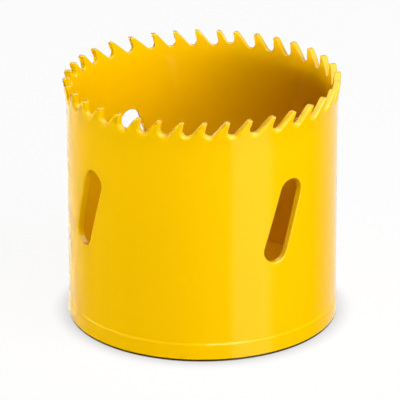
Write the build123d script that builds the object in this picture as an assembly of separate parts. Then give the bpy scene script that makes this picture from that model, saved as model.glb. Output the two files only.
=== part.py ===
from build123d import *
from math import asin, atan2, cos, hypot, radians, sin, sqrt
import os

# Bi-metal hole saw: a toothed cup rolled from steel strip, welded to a turned backing plate.
#
# Units are millimetres and degrees. The saw stands on its backing plate with the teeth up:
# +Z is the saw's axis, from the arbor side to the teeth, and z = 0 is the plate's outer face.
# Angles round the saw are measured from -Y towards +X, which is the way the saw turns.

# Overall sizes
CUT_DIAMETER = 52.0        # circle swept by the tooth tips
OVERALL_HEIGHT = 47.0      # arbor face to tooth tips

# Strip that the cup is rolled from
WALL = 1.3
SEAM_ANGLE = 169.6         # butt weld of the rolled strip

# The toothed rim flares outward, so that the cut clears the tube
FLARE = 0.65               # how far the tips stand out from the tube
FLARE_LENGTH = 5.0         # how far below the tips the flare starts
FLARE_BEND_RADIUS = 12.0

# Teeth, milled in the edge of the strip before it is rolled
GULLET_DEPTH = 2.7
GULLET_RADIUS = 0.9
SEAM_GULLET_RISE = 0.5     # the gap that the weld falls in is shallower by this
RAKE_ANGLE = 12.0          # undercut of the cutting face
TIP_LAND = 0.8
GULLET_EDGE_RADIUS = 0.3   # outer edges, tumbled and painted
FIRST_TOOTH_AFTER_SEAM = 3.9
# Variable pitch: runs of teeth, each (number of teeth, angle between them)
PITCH_RUNS = (
    (3, 9.6),
    (3, 10.9),
    (6, 9.75),
    (3, 10.3),
    (6, 9.4),
    (5, 10.4),
    (6, 10.75),
    (3, 9.55),
)

# Leaning slots for lifting out the cut plug, each (angle, height) of its centre
SLOT_CENTRES = ((-149.2, 25.0), (-56.7, 26.0), (36.2, 26.0), (124.6, 25.0))
SLOT_LENGTH = 16.2
SLOT_WIDTH = 4.9
SLOT_LEAN = 18.0
SLOT_EDGE_RADIUS = 0.3

# Backing plate
PLATE_THICKNESS = 5.3
FLANGE_HEIGHT = 3.2
FLANGE_OVERHANG = 0.15
FLANGE_TOP_RADIUS = 0.12
FLANGE_FOOT_RADIUS = 0.4
SPIGOT_CLEARANCE = 0.05
SPIGOT_CHAMFER = 0.3

# Arbor thread 5/8 in - 18 UNF, bored to its minor diameter
THREAD_MAJOR_DIAMETER = 15.875
THREAD_MINOR_DIAMETER = 14.5
THREAD_LEAD_IN = 0.3       # how much wider than the thread the countersink opens

# Holes for the arbor's drive pins
PIN_HOLE_COUNT = 4
PIN_HOLE_DIAMETER = 6.5
PIN_CIRCLE_DIAMETER = 25.4
PIN_HOLE_CHAMFER = 0.4
FIRST_PIN_ANGLE = 10.0

CUTTER_MARGIN = 1.0        # how far a cutting solid runs past what it cuts

tube_outer = CUT_DIAMETER / 2 - FLARE
tube_inner = tube_outer - WALL
flare_height = OVERALL_HEIGHT - FLARE_LENGTH


def radial_plane(angle, height=0.0):
    """Plane that faces outward at an angle round the saw: x runs with the angle, y runs up."""
    outward = Vector(sin(radians(angle)), -cos(radians(angle)), 0)
    tangent = Vector(cos(radians(angle)), sin(radians(angle)), 0)
    return Plane(origin=(0, 0, height), x_dir=tangent, z_dir=outward)


def tooth_angles():
    """Angle of each tooth's cutting corner, from the first past the weld, all the way round."""
    angles = [SEAM_ANGLE + FIRST_TOOTH_AFTER_SEAM]
    for count, pitch in PITCH_RUNS:
        for _ in range(count):
            angles.append(angles[-1] + pitch)
    return angles


def gullet_centre(depth):
    """Centre of the gullet's round bottom, measured from the cutting corner (along, up)."""
    drop = depth - GULLET_RADIUS
    along = (GULLET_RADIUS - drop * sin(radians(RAKE_ANGLE))) / cos(radians(RAKE_ANGLE))
    return along, -drop


def gullet_outline(gap, depth):
    """Closed outline of the space between two teeth.

    It starts at a tooth's cutting corner (0, 0), follows the undercut face into the round
    bottom, and climbs the straight back of the next tooth up to its land.
    """
    along, up = gullet_centre(depth)
    face_tangent = (along - GULLET_RADIUS * cos(radians(RAKE_ANGLE)),
                    up + GULLET_RADIUS * sin(radians(RAKE_ANGLE)))
    bottom = (along, up - GULLET_RADIUS)
    heel = (gap - TIP_LAND, 0)
    to_centre = (along - heel[0], up)
    distance = hypot(*to_centre)
    back_angle = atan2(to_centre[1], to_centre[0]) + asin(GULLET_RADIUS / distance)
    back_length = sqrt(distance ** 2 - GULLET_RADIUS ** 2)
    back_tangent = (heel[0] + back_length * cos(back_angle), back_length * sin(back_angle))
    outline = Curve() + [
        Polyline(back_tangent, heel, (heel[0], CUTTER_MARGIN), (0, CUTTER_MARGIN), (0, 0), face_tangent),
        ThreePointArc(face_tangent, bottom, back_tangent),
    ]
    return make_face(outline)


def gullet_cutter(corner_angle, gap_angle, depth):
    """Radial prism that mills one gullet, set square to the wall at the gullet's middle."""
    gap = radians(gap_angle) * tube_outer
    middle = corner_angle + gap_angle / 2
    sketch = Pos(-gap / 2, 0) * gullet_outline(gap, depth)
    plane = radial_plane(middle, OVERALL_HEIGHT)
    reach = tube_outer + FLARE + CUTTER_MARGIN
    start = tube_inner - CUTTER_MARGIN
    return extrude(plane.offset(start) * sketch, amount=reach - start)


def slot_cutter(angle, height):
    """Radial prism with round ends that punches one leaning slot through the wall."""
    sketch = Rot(0, 0, 90 - SLOT_LEAN) * SlotOverall(SLOT_LENGTH, SLOT_WIDTH)
    plane = radial_plane(angle, height).offset(tube_inner - SLOT_WIDTH)
    return extrude(plane * sketch, amount=WALL + SLOT_WIDTH + CUTTER_MARGIN)


def on_outer_face(edge):
    """Whether an edge of the cup lies on the wall's outer face."""
    spot = edge.center()
    flare = FLARE * max(0, spot.Z - flare_height) / FLARE_LENGTH
    return hypot(spot.X, spot.Y) > tube_outer + flare - WALL / 4


def slot_rims(wall):
    """Edges where the slots break through the tube's outer face."""
    heights = [height for _, height in SLOT_CENTRES]
    lowest = min(heights) - SLOT_LENGTH / 2
    highest = max(heights) + SLOT_LENGTH / 2
    return wall.edges().filter_by_position(Axis.Z, lowest, highest).filter_by(on_outer_face)


def gullet_rims(wall):
    """Edges where the gullets, between the teeth's lands, break through the flared outer face."""
    lowest = OVERALL_HEIGHT - GULLET_DEPTH - GULLET_RADIUS
    highest = OVERALL_HEIGHT - GULLET_RADIUS / 2
    return wall.edges().filter_by_position(Axis.Z, lowest, highest).filter_by(on_outer_face)


def rolled_wall():
    """Tube that stands on the flange and flares out in a smooth bend towards the teeth."""
    profile = Polygon(
        (tube_inner, FLANGE_HEIGHT),
        (tube_outer, FLANGE_HEIGHT),
        (tube_outer, flare_height),
        (tube_outer + FLARE, OVERALL_HEIGHT),
        (tube_inner + FLARE, OVERALL_HEIGHT),
        (tube_inner, flare_height),
        align=None,
    )
    bends = profile.vertices().filter_by(lambda corner: abs(corner.Y - flare_height) < 1e-6)
    profile = fillet(bends, FLARE_BEND_RADIUS)
    return revolve(Plane.XZ * profile, Axis.Z)


def toothed_cup():
    """Rolled strip as one solid: tube, flared rim, milled gullets and punched slots."""
    corners = tooth_angles()
    gaps = [after - before for before, after in zip(corners, corners[1:])]
    depths = [GULLET_DEPTH] * len(gaps)
    gaps.append(corners[0] + 360 - corners[-1])
    depths.append(GULLET_DEPTH - SEAM_GULLET_RISE)

    wall = rolled_wall()
    wall -= [slot_cutter(angle, height) for angle, height in SLOT_CENTRES]
    wall = fillet(slot_rims(wall), SLOT_EDGE_RADIUS)
    wall -= [gullet_cutter(*gullet) for gullet in zip(corners, gaps, depths)]
    return fillet(gullet_rims(wall), GULLET_EDGE_RADIUS)


def backing_plate():
    """Turned disc: a flange that the tube stands on, a spigot inside it, and the arbor's holes."""
    flange_radius = tube_outer + FLANGE_OVERHANG
    spigot_radius = tube_inner - SPIGOT_CLEARANCE
    flange = Pos(0, 0, FLANGE_HEIGHT / 2) * Cylinder(flange_radius, FLANGE_HEIGHT)
    flange = fillet(flange.edges().group_by(Axis.Z)[-1], FLANGE_TOP_RADIUS)
    flange = fillet(flange.edges().filter_by(GeomType.CIRCLE).group_by(Axis.Z)[0], FLANGE_FOOT_RADIUS)
    spigot = Pos(0, 0, PLATE_THICKNESS / 2) * Cylinder(spigot_radius, PLATE_THICKNESS)
    spigot = chamfer(spigot.edges().group_by(Axis.Z)[-1], SPIGOT_CHAMFER)
    plate = flange + spigot

    bore = Pos(0, 0, PLATE_THICKNESS / 2) * Cylinder(THREAD_MINOR_DIAMETER / 2, PLATE_THICKNESS)
    plate -= bore
    mouth_width = (THREAD_MAJOR_DIAMETER - THREAD_MINOR_DIAMETER) / 2 + THREAD_LEAD_IN
    mouths = plate.edges().filter_by(GeomType.CIRCLE).filter_by(
        lambda edge: abs(edge.radius - THREAD_MINOR_DIAMETER / 2) < 1e-6
    )
    plate = chamfer(mouths, mouth_width)

    pin_locations = PolarLocations(PIN_CIRCLE_DIAMETER / 2, PIN_HOLE_COUNT, start_angle=FIRST_PIN_ANGLE)
    pin = Pos(0, 0, PLATE_THICKNESS / 2) * Cylinder(PIN_HOLE_DIAMETER / 2, PLATE_THICKNESS)
    plate -= [location * pin for location in pin_locations]
    rims = plate.edges().filter_by(GeomType.CIRCLE).filter_by(
        lambda edge: abs(edge.radius - PIN_HOLE_DIAMETER / 2) < 1e-6
    )
    return chamfer(rims, PIN_HOLE_CHAMFER)


os.makedirs("parts", exist_ok=True)
export_step(toothed_cup(), "parts/toothed_cup.step")
export_step(backing_plate(), "parts/backing_plate.step")
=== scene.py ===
from math import asin, atan2, cos, hypot, pi, radians, sin, tan

import bpy
from mathutils import Matrix, Vector
from mathutils.geometry import delaunay_2d_cdt


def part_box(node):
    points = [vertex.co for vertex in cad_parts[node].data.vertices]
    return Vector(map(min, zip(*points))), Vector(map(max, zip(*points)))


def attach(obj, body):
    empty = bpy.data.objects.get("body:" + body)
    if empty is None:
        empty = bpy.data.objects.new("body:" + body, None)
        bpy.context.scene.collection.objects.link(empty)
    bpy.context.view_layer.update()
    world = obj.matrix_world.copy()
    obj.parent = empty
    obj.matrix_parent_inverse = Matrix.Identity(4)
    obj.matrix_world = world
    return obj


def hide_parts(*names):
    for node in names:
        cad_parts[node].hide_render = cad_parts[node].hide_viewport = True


# Bi-metal hole saw in gloss yellow paint: a cup with flared teeth and slots, and its backing plate.
# Shapes are worked out in millimetres and written to the meshes in metres.
# Angles round the saw are measured from -Y towards +X, as in the CAD model.

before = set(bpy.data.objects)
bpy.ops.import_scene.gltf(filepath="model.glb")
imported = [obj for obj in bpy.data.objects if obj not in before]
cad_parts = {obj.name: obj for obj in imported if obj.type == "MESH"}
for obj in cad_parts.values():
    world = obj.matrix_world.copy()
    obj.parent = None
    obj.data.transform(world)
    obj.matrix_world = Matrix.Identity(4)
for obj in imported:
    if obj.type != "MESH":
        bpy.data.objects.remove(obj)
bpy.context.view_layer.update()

MM = 0.001
UP = Vector((0, 0, 1))
cup_low, cup_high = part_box("toothed_cup")
plate_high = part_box("backing_plate")[1]

# Sizes that the frame gives
HEIGHT = cup_high.z / MM
FLANGE_HEIGHT = cup_low.z / MM
PLATE_THICKNESS = plate_high.z / MM
FLANGE_RADIUS = plate_high.x / MM

# Strip that the cup is rolled from
FLANGE_OVERHANG = 0.15
TUBE_OUTER = FLANGE_RADIUS - FLANGE_OVERHANG
WALL = 1.3
SEAM_ANGLE = 169.6             # butt weld of the rolled strip
STRIP_LENGTH = 2 * pi * TUBE_OUTER

# Flared rim
FLARE = 0.65                   # how far the tips stand out from the tube
FLARE_LENGTH = 5.0
FLARE_BEND_REACH = 0.78        # the bend is rounded over this much each way

# Teeth
GULLET_DEPTH = 2.7
SEAM_GULLET_DEPTH = 2.2
GULLET_RADIUS = 0.9
RAKE = radians(12.0)
TIP_LAND = 0.8
CORNER_RADIUS = 0.12           # rounding of a cutting corner, seen from the side
HEEL_RADIUS = 0.35
SHARPEST_CORNER = 0.03         # what is left of a corner's rounding where an edge is rounded too
FIRST_TOOTH_AFTER_SEAM = 3.9
# Variable pitch: runs of teeth, each (number of teeth, angle between them)
PITCH_RUNS = (
    (3, 9.6),
    (3, 10.9),
    (6, 9.75),
    (3, 10.3),
    (6, 9.4),
    (5, 10.4),
    (6, 10.75),
    (3, 9.55),
)
TOOTH_TIP_EDGE = 0.28          # paint and tumbling round the outer edges, at the tips
GULLET_EDGE = 0.8              # and at the gullets' bottoms
TOOTH_EDGE_INSIDE = 0.15

# Slots, each (angle, height) of its centre
SLOT_CENTRES = ((-149.2, 25.0), (-56.7, 26.0), (36.2, 26.0), (124.6, 25.0))
SLOT_LENGTH = 16.2
SLOT_WIDTH = 4.9
SLOT_LEAN = radians(18.0)
SLOT_EDGE_OUTSIDE = 0.3
SLOT_EDGE_INSIDE = 0.15

# Paint over the step between tube and flange
PAINT_FILLET = 0.55            # height that the paint fills

# Backing plate
FLANGE_TOP_RADIUS = 0.02
FLANGE_FOOT_RADIUS = 0.4
SPIGOT_CLEARANCE = 0.05
SPIGOT_RADIUS = TUBE_OUTER - WALL - SPIGOT_CLEARANCE
SPIGOT_CHAMFER = 0.3
EDGE_BREAK = 0.08              # rounding of the turned edges under the paint
EDGE_RUN = 2 * EDGE_BREAK      # how far a hole's profile runs on past its mouth's edge
PIN_HOLE_COUNT = 4
PIN_HOLE_RADIUS = 3.25
PIN_CIRCLE_RADIUS = 12.7
PIN_HOLE_CHAMFER = 0.4
FIRST_PIN_ANGLE = 10.0         # from +X, as the CAD model's pattern is

# Arbor thread, 5/8 in - 18 UNF
THREAD_MINOR_RADIUS = 14.5 / 2
THREAD_MAJOR_RADIUS = 15.875 / 2
THREAD_PITCH = 25.4 / 18
THREAD_CREST = 0.125           # share of the pitch that is flat at the minor radius
THREAD_ROOT = 0.25             # and at the major radius
THREAD_SOFTNESS = 0.35         # from 0, straight flanks, to 1, smooth waves
THREAD_LEAD_IN = 0.3           # how much wider than the thread the countersink opens
MOUTH_RADIUS = THREAD_MAJOR_RADIUS + THREAD_LEAD_IN

# How finely the meshes follow the shapes
ARC_STEP = radians(13.0)
EDGE_STEPS = 5                 # over each rounding of an edge cut through the wall
CUTTING_FACE_STEPS = 5
BACK_STEPS = 7
LAND_STEPS = 3
SLOT_END_STEPS = 18
SLOT_SIDE_STEPS = 9
PAINT_FILLET_ROWS = 8
WALL_COLUMNS = 150
WALL_ROW = 1.7
WALL_ROW_MARGIN = 0.45         # share of a row that the wall's points stay clear of the slots
TOOTH_GRID = 0.42              # spacing of the points inside the teeth
TOOTH_GRID_START = HEIGHT - GULLET_DEPTH - 2.2 * TOOTH_GRID
TOOTH_GRID_MARGIN = 0.6 * TOOTH_GRID
SEAM_MARGIN = 0.3 * TOOTH_GRID
HOLE_TOLERANCE = 0.01          # for telling a triangle in a slot from one beside it
RIM_STEPS = 180
BORE_STEPS = 128
PIN_HOLE_STEPS = 48
THREAD_ROWS = 64
THREAD_SLOPE_STEP = 0.01       # over which the thread's slopes are measured
DISC_GRID = 2.4                # spacing of the points inside the plate's flat faces
DISC_GRID_MARGIN = DISC_GRID / 3


def spread(start, end, steps):
    """Evenly spaced values from start to just before end."""
    return [start + (end - start) * step / steps for step in range(steps)]


def steps_for(angle):
    return max(2, round(abs(angle) / ARC_STEP))


def clamp(share):
    """The share, kept from 0 to 1."""
    return min(1.0, max(0.0, share))


def smooth(share):
    """The share from 0 to 1, eased at both ends."""
    return share * share * (3 - 2 * share)


def outward_at(angle):
    """Unit vector away from the saw's axis, at an angle round it."""
    return Vector((sin(angle), -cos(angle), 0))


def tangent_at(angle):
    """Unit vector round the saw's axis, the way that the angle grows."""
    return Vector((cos(angle), sin(angle), 0))


class Skin:
    """A mesh in the making: points in millimetres, a normal at each, and faces."""

    def __init__(self):
        self.points = []
        self.normals = []
        self.faces = []

    def add(self, point, normal):
        self.points.append(Vector(point))
        self.normals.append(Vector(normal).normalized())
        return len(self.points) - 1

    def band(self, row, next_row):
        """Quads between two closed rows with as many points each."""
        for here in range(len(row)):
            after = (here + 1) % len(row)
            self.faces.append((row[here], row[after], next_row[after], next_row[here]))

    def bands(self, rows):
        for row, next_row in zip(rows, rows[1:]):
            self.band(row, next_row)

    def outward(self, face):
        """The face's corners, turned so that it faces the way that its points' normals do."""
        a, b, c = (self.points[corner] for corner in face[:3])
        facing = sum((self.normals[corner] for corner in face), Vector((0, 0, 0)))
        square = (b - a).cross(c - b)
        return face if square.dot(facing) >= 0 else tuple(reversed(face))

    def build(self, name):
        mesh = bpy.data.meshes.new(name)
        faces = [self.outward(face) for face in self.faces]
        mesh.from_pydata([point * MM for point in self.points], [], faces)
        mesh.shade_smooth()
        mesh.normals_split_custom_set_from_vertices(self.normals)
        piece = bpy.data.objects.new(name, mesh)
        bpy.context.collection.objects.link(piece)
        return piece


def triangulate(points, loops, in_hole):
    """Triangles over a flat area, from points of which the loops (lists of indices) are edges."""
    edges = []
    for loop in loops:
        edges += [(loop[i], loop[(i + 1) % len(loop)]) for i in range(len(loop))]
    inside_only, nearness = 1, 1e-7
    places, _, triangles, sources, _, _ = delaunay_2d_cdt(
        [Vector(point) for point in points], edges, [], inside_only, nearness)
    kept = []
    for corners in triangles:
        middle = sum((places[c] for c in corners), Vector((0, 0))) / len(corners)
        if not in_hole(middle.x, middle.y):
            kept.append([sources[c][0] for c in corners])
    return kept


# Outlines in the flat strip, as (place, normal). The normals point out of the metal.

def line(start, end, normal, steps):
    """Points of a straight run, short of its end."""
    return [(start.lerp(end, share), normal) for share in spread(0, 1, steps)]


def arc(centre, radius, start, end):
    """Points of an arc, short of its end. Where the radius is negative, it is hollow."""
    path = []
    for turn in spread(start, end, steps_for(end - start)):
        normal = Vector((cos(turn), sin(turn)))
        path.append((centre + normal * radius, normal))
    return path


def depth_share(up):
    """0 at the tooth tips and 1 at the gullets' bottoms, changing smoothly."""
    return smooth(clamp(-up / GULLET_DEPTH))


class Gullet:
    """Space between two teeth, with `up` measured from the tips.

    Its cutting corner is at (0, 0), and its heel is one land short of the next corner.
    """

    def __init__(self, gap, depth):
        self.gap = gap
        drop = depth - GULLET_RADIUS
        self.centre = Vector(((GULLET_RADIUS - drop * sin(RAKE)) / cos(RAKE), -drop))
        self.face_normal = Vector((cos(RAKE), -sin(RAKE)))
        to_centre = self.centre - Vector((gap - TIP_LAND, 0))
        back = atan2(to_centre.y, to_centre.x) + asin(GULLET_RADIUS / to_centre.length)
        self.back_normal = Vector((sin(back), -cos(back)))

    def rounding_centre(self, normal, inset):
        """Centre of a corner's rounding that is `inset` in from both the land and a side."""
        # on the side's inset line, (place - centre) . normal = -(GULLET_RADIUS + inset)
        side = GULLET_RADIUS + inset
        along = self.centre.x + (-side - (-inset - self.centre.y) * normal.y) / normal.x
        return Vector((along, -inset))

    def corner(self, inset):
        """Centre and radius of the cutting corner's rounding."""
        radius = max(CORNER_RADIUS - inset, SHARPEST_CORNER)
        return self.rounding_centre(self.face_normal, inset + radius), radius

    def way_down(self, inset):
        """From the cutting corner down its face to the lowest point, `inset` into the metal."""
        corner, radius = self.corner(inset)
        reach = GULLET_RADIUS + inset
        face = line(corner + self.face_normal * radius, self.centre - self.face_normal * reach,
                    self.face_normal, CUTTING_FACE_STEPS)
        return arc(corner, radius, pi / 2, -RAKE) + face + arc(self.centre, -reach, -RAKE, pi / 2)

    def way_up(self, inset):
        """From the lowest point up the back and over the land to the next cutting corner."""
        radius = max(HEEL_RADIUS - inset, SHARPEST_CORNER)
        heel = self.rounding_centre(self.back_normal, inset + radius)
        reach = GULLET_RADIUS + inset
        back_turn = atan2(self.back_normal.y, self.back_normal.x)
        back = line(self.centre - self.back_normal * reach, heel + self.back_normal * radius,
                    self.back_normal, BACK_STEPS)
        next_corner = self.gap + self.corner(inset)[0].x
        land = line(heel + Vector((0, radius)), Vector((next_corner, heel.y + radius)),
                    Vector((0, 1)), LAND_STEPS)
        return (arc(self.centre, -reach, pi / 2, back_turn) + back
                + arc(heel, radius, back_turn, pi / 2) + land)

    def outline(self, inset):
        return self.way_down(inset) + self.way_up(inset)

    def clearance(self, place):
        """How far a place in the metal is from this gap's edge."""
        offset = place - self.centre
        face_up = Vector((sin(RAKE), cos(RAKE)))
        back_up = Vector((self.back_normal.y, -self.back_normal.x))
        to_face = offset.dot(self.face_normal)
        to_back = offset.dot(self.back_normal)
        if to_face >= 0 and to_back >= 0:
            return -GULLET_RADIUS
        if to_face < 0 and offset.dot(face_up) > 0:
            return -to_face - GULLET_RADIUS
        if to_back < 0 and offset.dot(back_up) > 0:
            return -to_back - GULLET_RADIUS
        return offset.length - GULLET_RADIUS


class Teeth:
    """The strip's toothed edge.

    The strip starts and ends at the bottom of the gullet that the weld falls in.
    """

    def __init__(self):
        corners = [SEAM_ANGLE + FIRST_TOOTH_AFTER_SEAM - 360]
        for count, pitch in PITCH_RUNS:
            for _ in range(count):
                corners.append(corners[-1] + pitch)
        gaps = [after - before for before, after in zip(corners, corners[1:])]
        gaps.append(corners[0] + 360 - corners[-1])
        depths = [GULLET_DEPTH] * (len(gaps) - 1) + [SEAM_GULLET_DEPTH]
        scale = radians(1) * TUBE_OUTER
        self.gullets = [Gullet(gap * scale, depth) for gap, depth in zip(gaps, depths)]
        start = corners[-1] * scale + self.gullets[-1].centre.x - STRIP_LENGTH
        self.start_angle = start / TUBE_OUTER
        self.offsets = [corner * scale - start for corner in corners]

    def outline(self, tip_inset, bottom_inset):
        """The whole toothed edge as (along, height, normal), from the strip's start.

        It is inset by tip_inset at the tips, and by ever more down to the gullets' bottoms.
        """
        path = []
        for offset, gullet in zip(self.offsets, self.gullets):
            edge = gullet.outline(0.0)
            tips = gullet.outline(tip_inset)
            bottoms = gullet.outline(bottom_inset)
            for (spot, normal), (near, _), (far, _) in zip(edge, tips, bottoms):
                place = near.lerp(far, depth_share(spot.y))
                path.append((offset + place.x, HEIGHT + place.y, normal))
        # the last gullet's way up lies past the strip's end, so it goes to the start
        tail = len(self.gullets[-1].way_up(0.0))
        wrapped = [(along - STRIP_LENGTH, height, normal) for along, height, normal in path[-tail:]]
        return wrapped + path[:-tail]

    def clearance(self, tooth, along, height):
        """How far a place in a tooth is from its land and from the gullets on both sides."""
        up = height - HEIGHT
        before = self.offsets[tooth - 1] - (STRIP_LENGTH if tooth == 0 else 0)
        return min(
            -up,
            self.gullets[tooth - 1].clearance(Vector((along - before, up))),
            self.gullets[tooth].clearance(Vector((along - self.offsets[tooth], up))),
        )

    def grid(self, tip_inset, bottom_inset):
        """Places inside the teeth, clear of an outline that is inset as `outline` says."""
        places = []
        bottoms = [offset + gullet.centre.x for offset, gullet in zip(self.offsets, self.gullets)]
        limits = [bottoms[-1] - STRIP_LENGTH] + bottoms
        row_count = int((HEIGHT - TOOTH_GRID_START) / TOOTH_GRID)
        for tooth, (low, high) in enumerate(zip(limits, limits[1:])):
            column_count = round((high - low) / TOOTH_GRID)
            step = (high - low) / column_count
            for row in range(row_count):
                height = TOOTH_GRID_START + row * TOOTH_GRID
                shift = step / 2 if row % 2 else 0.0
                inset = tip_inset + (bottom_inset - tip_inset) * depth_share(height - HEIGHT)
                for column in spread(low, high, column_count):
                    along = column + shift
                    if not SEAM_MARGIN <= along <= STRIP_LENGTH - SEAM_MARGIN:
                        continue
                    if self.clearance(tooth, along, height) > inset + TOOTH_GRID_MARGIN:
                        places.append((along, height))
        return places


class Slot:
    """Leaning slot with round ends, in the flat strip."""

    def __init__(self, along, height):
        self.centre = Vector((along, height))
        self.axis = Vector((sin(SLOT_LEAN), cos(SLOT_LEAN)))
        self.across = Vector((cos(SLOT_LEAN), -sin(SLOT_LEAN)))
        self.half_straight = (SLOT_LENGTH - SLOT_WIDTH) / 2

    def clearance(self, along, height):
        """How far a place is from the slot's edge. It is negative in the slot."""
        offset = Vector((along, height)) - self.centre
        lengthwise = max(0.0, abs(offset.dot(self.axis)) - self.half_straight)
        return hypot(lengthwise, offset.dot(self.across)) - SLOT_WIDTH / 2

    def outline(self, inset):
        """Points round the slot, `inset` into the metal."""
        radius = SLOT_WIDTH / 2 + inset
        path = []
        for end in (1, -1):
            centre = self.centre + self.axis * self.half_straight * end
            for turn in spread(0, pi, SLOT_END_STEPS):
                out = (self.across * cos(turn) + self.axis * sin(turn)) * end
                path.append((centre + out * radius, -out))
            side_start = centre - self.across * radius * end
            side_end = side_start - self.axis * 2 * self.half_straight * end
            path += line(side_start, side_end, self.across * end, SLOT_SIDE_STEPS)
        return path


teeth = Teeth()
slots = [Slot((radians(angle) - teeth.start_angle) * TUBE_OUTER, height)
         for angle, height in SLOT_CENTRES]


# The cup, rolled from the strip. A rim is where a cut edge meets one face of the strip, as
# (along, height, the skin's index) of each point.

def flare(height):
    """How far the wall stands out from the tube, and how fast that grows with height."""
    slope = FLARE / FLARE_LENGTH
    past = height - (HEIGHT - FLARE_LENGTH)
    if past <= -FLARE_BEND_REACH:
        return 0.0, 0.0
    if past >= FLARE_BEND_REACH:
        return slope * past, slope
    share = past + FLARE_BEND_REACH
    return slope * share ** 2 / (4 * FLARE_BEND_REACH), slope * share / (2 * FLARE_BEND_REACH)


def roll(along, height, depth, normal):
    """Point and normal on the rolled strip, from a depth below its outer face.

    The flat normal is (along, up, inward through the wall).
    """
    off, slope = flare(height)
    radius = TUBE_OUTER - depth + off
    angle = teeth.start_angle + along / TUBE_OUTER
    outward = outward_at(angle)
    n_along, n_up, n_deep = normal
    rolled = (tangent_at(angle) * (n_along * TUBE_OUTER / radius)
              + UP * (n_up + n_deep * slope) - outward * n_deep)
    return outward * radius + UP * height, rolled


def edge_rows(outside, inside):
    """Rows over a cut edge, from the outer face to the inner one.

    Each is (inset of the outline, depth below the outer face, share of the edge's own normal,
    share of the normal that points inward through the wall).
    """
    turns = [pi / 2 * step / EDGE_STEPS for step in range(EDGE_STEPS + 1)]
    rows = []
    for turn in turns:
        rows.append((outside * (1 - sin(turn)), outside * (1 - cos(turn)), sin(turn), -cos(turn)))
    for turn in turns:
        depth = WALL - inside * (1 - sin(turn))
        rows.append((inside * (1 - cos(turn)), depth, cos(turn), sin(turn)))
    return rows


def join_rims(skin, rims):
    """Faces over a cut edge, from rim to rim. Returns the first rim and the last one."""
    skin.bands([[index for _, _, index in rim] for rim in rims])
    return rims[0], rims[-1]


def add_tooth_edge(skin):
    """The rounded edge of the teeth. Returns its rims on the outer and the inner face."""
    tip_rows = edge_rows(TOOTH_TIP_EDGE, TOOTH_EDGE_INSIDE)
    bottom_rows = edge_rows(GULLET_EDGE, TOOTH_EDGE_INSIDE)
    sharp_edge = teeth.outline(0.0, 0.0)
    rims = []
    for tip_row, bottom_row in zip(tip_rows, bottom_rows):
        tip_inset, tip_depth, edge_share, deep_share = tip_row
        bottom_inset, bottom_depth = bottom_row[:2]
        rim = []
        for spot, (_, sharp_height, _) in zip(teeth.outline(tip_inset, bottom_inset), sharp_edge):
            along, height, normal = spot
            depth = tip_depth + (bottom_depth - tip_depth) * depth_share(sharp_height - HEIGHT)
            flat = (normal.x * edge_share, normal.y * edge_share, deep_share)
            rim.append((along, height, skin.add(*roll(along, height, depth, flat))))
        rims.append(rim)
    return join_rims(skin, rims)


def add_slot_edge(skin, slot):
    """The rounded edge of a slot. Returns its rims on the outer and the inner face."""
    rims = []
    for inset, depth, edge_share, deep_share in edge_rows(SLOT_EDGE_OUTSIDE, SLOT_EDGE_INSIDE):
        rim = []
        for place, normal in slot.outline(inset):
            flat = (normal.x * edge_share, normal.y * edge_share, deep_share)
            rim.append((place.x, place.y, skin.add(*roll(place.x, place.y, depth, flat))))
        rims.append(rim)
    return join_rims(skin, rims)


class WallFace:
    """One face of the strip: how it lies, and how far the cut edges' roundings reach into it."""

    def __init__(self, depth, inward, foot, tooth_insets, slot_inset):
        self.depth = depth                # below the outer face
        self.inward = inward              # 1 where it faces inward, and -1 where it faces outward
        self.foot = foot                  # height that it starts from
        self.tooth_insets = tooth_insets  # at the tips and at the gullets' bottoms
        self.slot_inset = slot_inset


OUTER_FACE = WallFace(0.0, -1, FLANGE_HEIGHT + PAINT_FILLET,
                      (TOOTH_TIP_EDGE, GULLET_EDGE), SLOT_EDGE_OUTSIDE)
INNER_FACE = WallFace(WALL, 1, FLANGE_HEIGHT,
                      (TOOTH_EDGE_INSIDE, TOOTH_EDGE_INSIDE), SLOT_EDGE_INSIDE)


def add_wall_face(skin, face, tooth_rim, slot_rims):
    """A face of the strip between the rims of its cut edges. Returns its foot, as indices."""
    places = []
    indices = []

    def put(along, height, index=None):
        if index is None:
            index = skin.add(*roll(along, height, face.depth, (0, 0, face.inward)))
        places.append((along, height))
        indices.append(index)
        return len(places) - 1

    def in_slot(along, height):
        limit = face.slot_inset - HOLE_TOLERANCE
        return any(slot.clearance(along, height) < limit for slot in slots)

    columns = [STRIP_LENGTH * column / WALL_COLUMNS for column in range(WALL_COLUMNS + 1)]
    row_count = round((TOOTH_GRID_START - face.foot) / WALL_ROW)
    row_height = (TOOTH_GRID_START - face.foot) / row_count
    heights = [face.foot + row_height * row for row in range(row_count)]

    # the strip's two ends are the same points, so that the cup closes at the weld
    start = [put(0, height) for height in heights]
    foot = [start[0]] + [put(along, face.foot) for along in columns[1:-1]]
    end = [put(STRIP_LENGTH, height, indices[place]) for height, place in zip(heights, start)]
    top = [put(*spot) for spot in tooth_rim]
    _, seam_height, seam_index = tooth_rim[0]
    top.append(put(STRIP_LENGTH, seam_height, seam_index))
    loops = [foot + end + top[::-1] + start[:0:-1]]
    loops += [[put(*spot) for spot in rim] for rim in slot_rims]

    room = SLOT_EDGE_OUTSIDE + WALL_ROW_MARGIN * row_height
    for height in heights[1:]:
        for along in columns[1:-1]:
            if all(slot.clearance(along, height) > room for slot in slots):
                put(along, height)
    for along, height in teeth.grid(*face.tooth_insets):
        put(along, height)

    for triangle in triangulate(places, loops, in_slot):
        skin.faces.append(tuple(indices[corner] for corner in triangle))
    return [indices[place] for place in foot]


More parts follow.
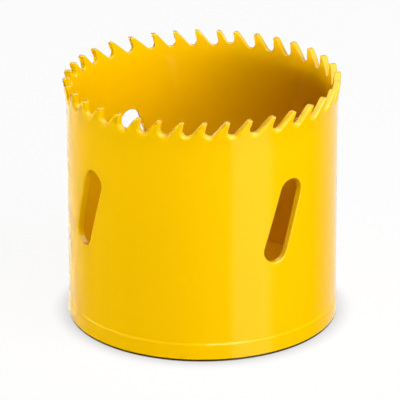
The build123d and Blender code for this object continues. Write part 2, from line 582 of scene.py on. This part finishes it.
def add_paint_fillet(skin, ring):
    """Paint that runs in a smooth S from the tube's face to the flange's edge."""
    for row in range(1, PAINT_FILLET_ROWS + 1):
        share = row / PAINT_FILLET_ROWS
        out = FLANGE_OVERHANG * smooth(share)
        slope = FLANGE_OVERHANG / PAINT_FILLET * 6 * share * (1 - share)
        height = FLANGE_HEIGHT + PAINT_FILLET * (1 - share)
        next_ring = []
        for column in range(WALL_COLUMNS):
            along = STRIP_LENGTH * column / WALL_COLUMNS
            next_ring.append(skin.add(*roll(along, height, -out, (0, slope, -1))))
        skin.band(ring, next_ring)
        ring = next_ring
    return ring


def make_cup():
    skin = Skin()
    outer_tooth_rim, inner_tooth_rim = add_tooth_edge(skin)
    slot_rims = [add_slot_edge(skin, slot) for slot in slots]
    outer_foot = add_wall_face(skin, OUTER_FACE, outer_tooth_rim, [outer for outer, _ in slot_rims])
    inner_foot = add_wall_face(skin, INNER_FACE, inner_tooth_rim, [inner for _, inner in slot_rims])
    # the foot faces down, which its points' normals don't say, so its order does
    skin.band(inner_foot, add_paint_fillet(skin, outer_foot))
    return skin.build("cup")


# The backing plate, as profiles of (radius, height) turned round upright axes

CENTRE = Vector((0, 0, 0))
BORE_ANGLES = spread(0, 2 * pi, BORE_STEPS)


def rounded_profile(corners):
    """Profile through corners (radius, height, rounding), as (place, normal).

    The metal lies on the left of the profile's way. The first and last corner are its ends.
    """
    spots = [Vector((radius, height)) for radius, height, _ in corners]
    roundings = [rounding for _, _, rounding in corners]
    profile = []
    for before, here, after, rounding in zip(spots, spots[1:], spots[2:], roundings[1:]):
        way_in = (here - before).normalized()
        way_out = (after - here).normalized()
        turn = way_in.angle_signed(way_out)
        normal_in = Vector((way_in.y, -way_in.x))
        normal_out = Vector((way_out.y, -way_out.x))
        trim = rounding * abs(tan(turn / 2))
        start = here - way_in * trim
        end = here + way_out * trim
        if not profile:
            profile.append((spots[0], normal_in))
        steps = steps_for(turn)
        for step in range(steps + 1):
            share = step / steps
            normal = (normal_in * (1 - share) + normal_out * share).normalized()
            # a quadratic curve that is tangent to both sides
            spot = start.lerp(here, share).lerp(here.lerp(end, share), share)
            profile.append((spot, normal))
    profile.append((spots[-1], normal_out))
    return profile


def turn_profile(skin, corners, centre, angles):
    """A rounded profile turned round an upright axis. Returns its rings of indices."""
    rings = []
    for spot, normal in rounded_profile(corners):
        ring = []
        for angle in angles:
            outward = outward_at(angle)
            point = centre + outward * spot.x + UP * spot.y
            ring.append(skin.add(point, outward * normal.x + UP * normal.y))
        rings.append(ring)
    skin.bands(rings)
    return rings


def thread_radius(angle, height):
    """Bore of the right-hand thread, opened by a 45 degree countersink at each end."""
    phase = (height / THREAD_PITCH - angle / (2 * pi)) % 1
    ridge = abs(2 * phase - 1)             # 1 at the crest that reaches furthest in
    share = clamp((1 - THREAD_CREST - ridge) / (1 - THREAD_CREST - THREAD_ROOT))
    share = smooth(share) * THREAD_SOFTNESS + share * (1 - THREAD_SOFTNESS)
    cut = THREAD_MINOR_RADIUS + (THREAD_MAJOR_RADIUS - THREAD_MINOR_RADIUS) * share
    return max(cut, MOUTH_RADIUS - height, MOUTH_RADIUS - (PLATE_THICKNESS - height))


def thread_point(angle, height):
    """Point and normal on the threaded wall."""
    radius = thread_radius(angle, height)
    step = THREAD_SLOPE_STEP
    turn = step / radius
    rise = (thread_radius(angle, height + step) - thread_radius(angle, height - step)) / (2 * step)
    swell = (thread_radius(angle + turn, height) - thread_radius(angle - turn, height)) / (2 * step)
    outward = outward_at(angle)
    normal = -outward + tangent_at(angle) * swell + UP * rise
    return outward * radius + UP * height, normal


def add_bore(skin):
    """The threaded bore. Returns its loops on the plate's top and bottom."""
    top_mouth = turn_profile(skin, [
        (MOUTH_RADIUS + EDGE_RUN, PLATE_THICKNESS, 0),
        (MOUTH_RADIUS, PLATE_THICKNESS, EDGE_BREAK),
        (MOUTH_RADIUS - EDGE_RUN, PLATE_THICKNESS - EDGE_RUN, 0),
    ], CENTRE, BORE_ANGLES)
    bottom_mouth = turn_profile(skin, [
        (MOUTH_RADIUS - EDGE_RUN, EDGE_RUN, 0),
        (MOUTH_RADIUS, 0, EDGE_BREAK),
        (MOUTH_RADIUS + EDGE_RUN, 0, 0),
    ], CENTRE, BORE_ANGLES)
    top = PLATE_THICKNESS - EDGE_RUN
    rings = [top_mouth[-1]]
    for row in range(1, THREAD_ROWS):
        height = top + (EDGE_RUN - top) * row / THREAD_ROWS
        rings.append([skin.add(*thread_point(angle, height)) for angle in BORE_ANGLES])
    skin.bands(rings + [bottom_mouth[0]])
    radius = MOUTH_RADIUS + EDGE_RUN
    return (CENTRE, radius, top_mouth[0]), (CENTRE, radius, bottom_mouth[-1])


def add_pin_hole(skin, centre):
    """A hole for one of the arbor's pins. Returns its loops on the plate's top and bottom."""
    mouth = PIN_HOLE_RADIUS + PIN_HOLE_CHAMFER
    rings = turn_profile(skin, [
        (mouth + EDGE_RUN, PLATE_THICKNESS, 0),
        (mouth, PLATE_THICKNESS, EDGE_BREAK),
        (PIN_HOLE_RADIUS, PLATE_THICKNESS - PIN_HOLE_CHAMFER, EDGE_BREAK),
        (PIN_HOLE_RADIUS, PIN_HOLE_CHAMFER, EDGE_BREAK),
        (mouth, 0, EDGE_BREAK),
        (mouth + EDGE_RUN, 0, 0),
    ], centre, spread(0, 2 * pi, PIN_HOLE_STEPS))
    return (centre, mouth + EDGE_RUN, rings[0]), (centre, mouth + EDGE_RUN, rings[-1])


def add_disc_face(skin, height, facing, outer, holes):
    """Flat face with holes. Loops are (centre, radius, indices)."""
    places = []
    indices = []
    loops = []
    for _, _, ring in (outer, *holes):
        loops.append(list(range(len(places), len(places) + len(ring))))
        places += [tuple(skin.points[index].xy) for index in ring]
        indices += ring

    def to_nearest_hole(x, y):
        return min(hypot(x - centre.x, y - centre.y) - radius for centre, radius, _ in holes)

    rim_radius = outer[1]
    reach = int(rim_radius / DISC_GRID)
    for column in range(-reach, reach + 1):
        for row in range(-reach, reach + 1):
            x, y = column * DISC_GRID, row * DISC_GRID
            if min(rim_radius - hypot(x, y), to_nearest_hole(x, y)) > DISC_GRID_MARGIN:
                places.append((x, y))
                indices.append(skin.add((x, y, height), (0, 0, facing)))
    for triangle in triangulate(places, loops, lambda x, y: to_nearest_hole(x, y) < 0):
        skin.faces.append(tuple(indices[corner] for corner in triangle))


def make_plate():
    skin = Skin()
    foot_radius = FLANGE_RADIUS - 2 * FLANGE_FOOT_RADIUS
    top_radius = SPIGOT_RADIUS - 2 * SPIGOT_CHAMFER
    rim = turn_profile(skin, [
        (foot_radius, 0, 0),
        (FLANGE_RADIUS, 0, FLANGE_FOOT_RADIUS),
        (FLANGE_RADIUS, FLANGE_HEIGHT, FLANGE_TOP_RADIUS),
        (SPIGOT_RADIUS, FLANGE_HEIGHT, EDGE_BREAK),
        (SPIGOT_RADIUS, PLATE_THICKNESS - SPIGOT_CHAMFER, EDGE_BREAK),
        (SPIGOT_RADIUS - SPIGOT_CHAMFER, PLATE_THICKNESS, EDGE_BREAK),
        (top_radius, PLATE_THICKNESS, 0),
    ], CENTRE, spread(0, 2 * pi, RIM_STEPS))

    holes = [add_bore(skin)]
    for pin in range(PIN_HOLE_COUNT):
        angle = radians(FIRST_PIN_ANGLE + 360 / PIN_HOLE_COUNT * pin)
        holes.append(add_pin_hole(skin, Vector((cos(angle), sin(angle), 0)) * PIN_CIRCLE_RADIUS))
    top_loops, bottom_loops = zip(*holes)
    add_disc_face(skin, PLATE_THICKNESS, 1, (CENTRE, top_radius, rim[-1]), top_loops)
    add_disc_face(skin, 0.0, -1, (CENTRE, foot_radius, rim[0]), bottom_loops)
    return skin.build("plate")


# Paint

PAINT_COLOURS = ((0.77, 0.44, 0.0, 1.0), (0.79, 0.455, 0.0, 1.0))
PAINT_DRIFT_SCALE = 45.0       # of the slow change in colour and gloss
PAINT_ROUGHNESS = (0.10, 0.16)
PAINT_IOR = 1.5
PAINT_TINT = (1.0, 0.85, 0.5, 1.0)
ORANGE_PEEL_SCALE = 420.0
ORANGE_PEEL_STRENGTH = 0.04
ORANGE_PEEL_HEIGHT = 0.5 * MM
# Painted shade on the rounded edge that the saw stands on, standing in for its contact shadow: it
# fades out upwards and towards the middle
FOOT_SHADE_TOP = 0.62
FOOT_SHADE_BOTTOM = 0.42
FOOT_SHADE_RADIUS = 24.9
FOOT_SHADE_FADE = 0.15
FOOT_SHADE_COLOUR = (0.05, 0.028, 0.004, 1.0)


def feed(tree, inlet, value):
    """Links an input to another node's output, or sets it to a fixed value."""
    if isinstance(value, bpy.types.NodeSocket):
        tree.links.new(value, inlet)
    else:
        inlet.default_value = value


def node(tree, kind, inputs=None, **settings):
    """A new node, with its settings made and its inputs fed, by name or by place."""
    made = tree.nodes.new(kind)
    for name, value in settings.items():
        setattr(made, name, value)
    for name, value in (inputs or {}).items():
        feed(tree, made.inputs[name], value)
    return made


def calculate(tree, operation, *values):
    return node(tree, "ShaderNodeMath", dict(enumerate(values)), operation=operation).outputs[0]


def ramp(tree, value, start, end):
    """Smooth step from 0 at start to 1 at end."""
    return node(tree, "ShaderNodeMapRange", {
        "Value": value, "From Min": start, "From Max": end,
    }, interpolation_type="SMOOTHSTEP").outputs["Result"]


def mix_colours(tree, share, first, second):
    """Colour between two others."""
    mix = node(tree, "ShaderNodeMix", {"Factor": share}, data_type="RGBA")
    # a mix node has sockets of the same names for other types than colours
    inlets = [inlet for inlet in mix.inputs if inlet.type == "RGBA"]
    for inlet, colour in zip(inlets, (first, second)):
        feed(tree, inlet, colour)
    return next(outlet for outlet in mix.outputs if outlet.type == "RGBA")


def painted_foot_shade(tree, place):
    """How much the painted shade darkens the foot's rounded edge, from 0 to 1."""
    parts = node(tree, "ShaderNodeSeparateXYZ", {"Vector": place})
    flat = node(tree, "ShaderNodeCombineXYZ", {"X": parts.outputs["X"], "Y": parts.outputs["Y"]})
    radius = node(tree, "ShaderNodeVectorMath", {"Vector": flat.outputs["Vector"]},
                  operation="LENGTH").outputs["Value"]
    low = ramp(tree, parts.outputs["Z"], FOOT_SHADE_TOP * MM, FOOT_SHADE_BOTTOM * MM)
    out = ramp(tree, radius, FOOT_SHADE_RADIUS * MM, (FOOT_SHADE_RADIUS + FOOT_SHADE_FADE) * MM)
    return calculate(tree, "MULTIPLY", low, out)


def make_paint(name, shaded_foot=False):
    material = bpy.data.materials.new(name)
    material.use_nodes = True
    tree = material.node_tree
    tree.nodes.clear()
    place = node(tree, "ShaderNodeTexCoord").outputs["Object"]
    drift = node(tree, "ShaderNodeTexNoise", {
        "Vector": place, "Scale": PAINT_DRIFT_SCALE, "Detail": 2.0,
    }).outputs["Fac"]
    colour = mix_colours(tree, drift, *PAINT_COLOURS)
    # painted shade: the foot's rounded edge is darkened to dark brown, where a contact shadow falls
    if shaded_foot:
        colour = mix_colours(tree, painted_foot_shade(tree, place), colour, FOOT_SHADE_COLOUR)
    peel = node(tree, "ShaderNodeTexNoise", {
        "Vector": place, "Scale": ORANGE_PEEL_SCALE, "Detail": 1.0,
    })
    bump = node(tree, "ShaderNodeBump", {
        "Height": peel.outputs["Fac"],
        "Strength": ORANGE_PEEL_STRENGTH,
        "Distance": ORANGE_PEEL_HEIGHT,
    })
    roughness = node(tree, "ShaderNodeMapRange", {
        "Value": drift, "To Min": PAINT_ROUGHNESS[0], "To Max": PAINT_ROUGHNESS[1],
    })
    surface = node(tree, "ShaderNodeBsdfPrincipled", {
        "Base Color": colour,
        "Roughness": roughness.outputs["Result"],
        "Normal": bump.outputs["Normal"],
        "IOR": PAINT_IOR,
        "Specular Tint": PAINT_TINT,
    })
    output = node(tree, "ShaderNodeOutputMaterial", {"Surface": surface.outputs["BSDF"]})
    output.is_active_output = True
    return material


# Studio

CAMERA_ELEVATION = radians(21.9)
CAMERA_DISTANCE = 706.0 * MM
CAMERA_LENS = 337.0
CAMERA_SENSOR = 36.0
CAMERA_ROLL = radians(-0.154)
CAMERA_AIM = Vector((-0.435, 0.0, 21.98)) * MM
CAMERA_CLIP = (0.01, 20.0)

# Softboxes: (name, angle round the saw, angle above the floor, watts)
SOFTBOXES = (
    ("key", 60, 30, 2.7),
    ("top_light", 35, 50, 0.85),
    ("front_light", 20, 15, 1.85),
    ("overhead", 0, 88, 0.5),
)
SOFTBOX_SIZE = 0.35
SOFTBOX_DISTANCE = 0.6

# White walls that light the saw from low down: (angle round the saw, strength, end, full).
# By the upward part of the direction, a wall's light ends at one height and is full at the other.
WALL_LIGHTS = (
    (70, 1.35, 0.45, 0.1),
    (-105, 38.0, 0.14, 0.0),
    (-50, 15.0, 0.14, 0.0),
    (150, 9.5, 0.22, 0.0),
    (-165, 9.5, 0.22, 0.0),
)
WALL_LIGHT_FOCUS = 4.0         # power of the cosine, so a higher one is narrower
AMBIENT = 0.03

# What the paint mirrors: strengths, and where each starts and is full. The backdrop, the left
# edge and the overhead lamp go by the direction's parts, and the window by the angle in degrees.
BACKDROP = 1.09
BACKDROP_Y = (0.25, 1.05)
LEFT_EDGE = 0.1
LEFT_EDGE_X = (-0.6, -1.0)
LEFT_EDGE_Y = (-0.4, 0.2)
WINDOW = 1.15
WINDOW_LEFT = (22, 29)
WINDOW_RIGHT = (67, 53)
OVERHEAD = 4.5
OVERHEAD_Z = (0.55, 0.9)

FLOOR_REACH = 6.0
FLOOR_COLOUR = 0.9             # to the camera
FLOOR_BOUNCE = 0.2             # and for the light that it throws on the saw
FLOOR_GLOW = 0.92              # share of it that is plain white to the camera
# Soft contact shadow round the foot
CONTACT_REACH = 3.5 * MM
CONTACT_SHADE = 0.45           # white that is left right at the foot
CONTACT_SAMPLES = 16


def add_camera():
    camera = bpy.data.objects.new("camera", bpy.data.cameras.new("camera"))
    bpy.context.collection.objects.link(camera)
    camera.data.sensor_width = CAMERA_SENSOR
    camera.data.lens = CAMERA_LENS
    camera.data.clip_start, camera.data.clip_end = CAMERA_CLIP
    back = Vector((0, -cos(CAMERA_ELEVATION), sin(CAMERA_ELEVATION)))
    right = Vector((1, 0, 0))
    above = back.cross(right)
    rolled_right = right * cos(CAMERA_ROLL) + above * sin(CAMERA_ROLL)
    rolled_above = back.cross(rolled_right)
    turn = Matrix((rolled_right, rolled_above, back)).transposed()
    place = CAMERA_AIM + back * CAMERA_DISTANCE
    camera.matrix_world = Matrix.Translation(place) @ turn.to_4x4()
    bpy.context.scene.camera = camera


def add_softbox(name, azimuth, elevation, watts):
    """Area light aimed at the saw's middle, from an angle round it and above the floor."""
    light = bpy.data.lights.new(name, "AREA")
    light.shape = "SQUARE"
    light.size = SOFTBOX_SIZE
    light.energy = watts
    box = bpy.data.objects.new(name, light)
    bpy.context.collection.objects.link(box)
    a, e = radians(azimuth), radians(elevation)
    way = Vector((sin(a) * cos(e), -cos(a) * cos(e), sin(e)))
    box.location = way * SOFTBOX_DISTANCE + UP * HEIGHT / 2 * MM
    box.rotation_euler = way.to_track_quat("Z", "Y").to_euler()


def add_up(tree, parts):
    total = parts[0]
    for part in parts[1:]:
        total = calculate(tree, "ADD", total, part)
    return total


def multiply(tree, *parts):
    total = parts[0]
    for part in parts[1:]:
        total = calculate(tree, "MULTIPLY", total, part)
    return total


def shows_background(tree, path):
    """1 for a ray from the camera, straight or through glass."""
    return calculate(tree, "MAXIMUM", path["Is Camera Ray"], path["Is Transmission Ray"])


def make_world():
    world = bpy.data.worlds.new("studio")
    bpy.context.scene.world = world
    world.use_nodes = True
    tree = world.node_tree
    tree.nodes.clear()
    path = node(tree, "ShaderNodeLightPath").outputs
    direction = node(tree, "ShaderNodeTexCoord").outputs["Generated"]
    parts = node(tree, "ShaderNodeSeparateXYZ", {"Vector": direction})
    x, y, z = (parts.outputs[axis] for axis in "XYZ")
    azimuth = calculate(tree, "ARCTAN2", x, multiply(tree, y, -1.0))

    # a white backdrop behind, a bright left edge, a window on the right and a lamp overhead
    mirrored = add_up(tree, [
        multiply(tree, ramp(tree, y, *BACKDROP_Y), BACKDROP),
        multiply(tree, ramp(tree, x, *LEFT_EDGE_X), ramp(tree, y, *LEFT_EDGE_Y), LEFT_EDGE),
        multiply(tree, ramp(tree, azimuth, *map(radians, WINDOW_LEFT)),
                 ramp(tree, azimuth, *map(radians, WINDOW_RIGHT)), WINDOW),
        multiply(tree, ramp(tree, z, *OVERHEAD_Z), OVERHEAD),
    ])

    lights = []
    for centre, strength, end, full in WALL_LIGHTS:
        off = calculate(tree, "SUBTRACT", azimuth, radians(centre))
        lobe = calculate(tree, "MAXIMUM", calculate(tree, "COSINE", off), 0.0)
        lobe = calculate(tree, "POWER", lobe, WALL_LIGHT_FOCUS)
        lights.append(multiply(tree, lobe, ramp(tree, z, end, full), strength))
    lit = add_up(tree, lights + [AMBIENT])

    strength = add_up(tree, [
        multiply(tree, path["Is Glossy Ray"], mirrored),
        multiply(tree, path["Is Diffuse Ray"], lit),
        shows_background(tree, path),
    ])
    background = node(tree, "ShaderNodeBackground", {"Color": (1, 1, 1, 1), "Strength": strength})
    node(tree, "ShaderNodeOutputWorld", {"Surface": background.outputs["Background"]})


def make_floor():
    mesh = bpy.data.meshes.new("floor")
    reach = FLOOR_REACH
    corners = [(-reach, -reach, 0), (reach, -reach, 0), (reach, reach, 0), (-reach, reach, 0)]
    mesh.from_pydata(corners, [], [(0, 1, 2, 3)])
    floor = bpy.data.objects.new("floor", mesh)
    bpy.context.collection.objects.link(floor)
    floor.visible_glossy = False
    material = bpy.data.materials.new("white_sweep")
    material.use_nodes = True
    tree = material.node_tree
    tree.nodes.clear()
    seen = shows_background(tree, node(tree, "ShaderNodeLightPath").outputs)
    tone = node(tree, "ShaderNodeMapRange", {
        "Value": seen, "To Min": FLOOR_BOUNCE, "To Max": FLOOR_COLOUR,
    })
    paper = node(tree, "ShaderNodeBsdfDiffuse", {"Color": tone.outputs["Result"]})
    near = node(tree, "ShaderNodeAmbientOcclusion", {"Distance": CONTACT_REACH},
                samples=CONTACT_SAMPLES)
    shade = node(tree, "ShaderNodeMapRange", {"Value": near.outputs["AO"], "To Min": CONTACT_SHADE})
    glow = node(tree, "ShaderNodeEmission", {"Color": shade.outputs["Result"], "Strength": 1.0})
    mix = node(tree, "ShaderNodeMixShader", {
        "Fac": multiply(tree, seen, FLOOR_GLOW),
        1: paper.outputs["BSDF"],
        2: glow.outputs["Emission"],
    })
    node(tree, "ShaderNodeOutputMaterial", {"Surface": mix.outputs["Shader"]})
    mesh.materials.append(material)


cup = make_cup()
cup.data.materials.append(make_paint("cup_paint"))
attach(cup, "root")
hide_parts("toothed_cup")

plate = make_plate()
plate.data.materials.append(make_paint("plate_paint", shaded_foot=True))
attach(plate, "root")
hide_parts("backing_plate")

add_camera()
make_world()
make_floor()
for softbox in SOFTBOXES:
    add_softbox(*softbox)
bpy.context.scene.view_settings.view_transform = "Standard"
